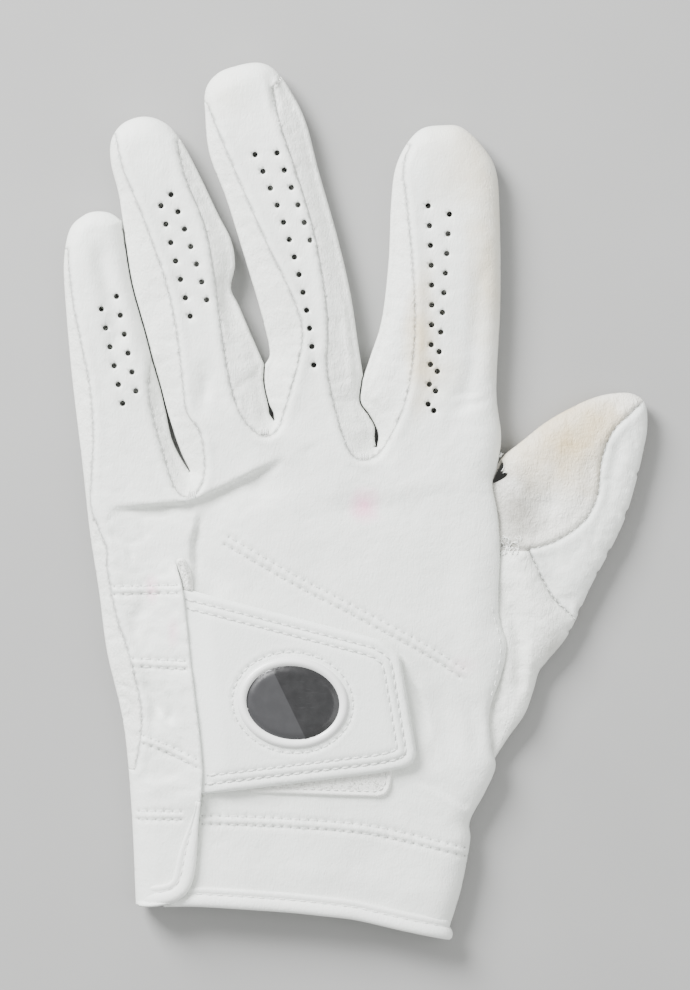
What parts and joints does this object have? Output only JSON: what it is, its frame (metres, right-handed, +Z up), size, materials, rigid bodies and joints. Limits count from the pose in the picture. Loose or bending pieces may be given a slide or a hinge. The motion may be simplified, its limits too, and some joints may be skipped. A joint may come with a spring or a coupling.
{
  "type": "golf glove",
  "caption": "Left-hand leather golf glove with sewn finger gussets, elastic wrist and a hinged closure tab that folds over the slit in the back.",
  "frame": {"origin": "on the surface the glove lies on, below the middle of its outline", "axes": "+X towards the thumb side, +Y towards the fingertips, +Z up towards the back of the hand; the glove lies palm down"},
  "size_m": [0.1466, 0.2201, 0.0126],
  "materials": {
    "back_leather": "soft white cabretta leather, fine grain, satin",
    "palm_leather": "soft off-white cabretta leather, faintly stained from play",
    "fourchette_leather": "soft cream-white leather gussets",
    "tab_leather": "white leather, two plies, stitched",
    "binding": "rolled white leather binding",
    "elastic": "white woven elastic",
    "loop_pile": "fuzzy white loop pile",
    "hook_pile": "stiff white hook tape",
    "badge_rim": "moulded soft white rubber",
    "badge_insert": "dark grey moulded rubber",
    "thread": "white sewing thread"
  },
  "bodies": {
    "glove": {"back_panel": "back_leather", "palm_panel": "palm_leather", "fourchette_ring_little": "fourchette_leather", "fourchette_middle_ring": "fourchette_leather", "fourchette_index_middle": "fourchette_leather", "thumb_front_panel": "palm_leather", "thumb_back_panel": "back_leather", "cuff_binding": "binding", "flap_binding": "binding", "wrist_elastic": "elastic", "back_elastic": "elastic", "tab_elastic": "elastic", "loop_patch": "loop_pile", "slit_reinforcement": "loop_pile", "cuff_stitching": "thread", "back_stitching": "thread", "binding_stitching": "thread", "finger_seam_stitching": "thread", "crotch_stitching": "thread", "thumb_stitching": "thread", "loop_patch_stitching": "thread", "strip_stitching": "thread"},
    "closure_tab": {"tab_outer": "tab_leather", "tab_lining": "tab_leather", "hook_patch": "hook_pile", "badge_rim": "badge_rim", "badge_insert": "badge_insert", "badge_stitching": "thread", "tab_stitching": "thread"}
  },
  "joints": [
    {"name": "tab_peel", "type": "hinge", "parent": "glove", "child": "closure_tab", "pos_m": [-0.04075, -0.047, 0.0118], "axis": [0.1014, -0.9948, 0], "range_deg": [0, 165]}
  ]
}
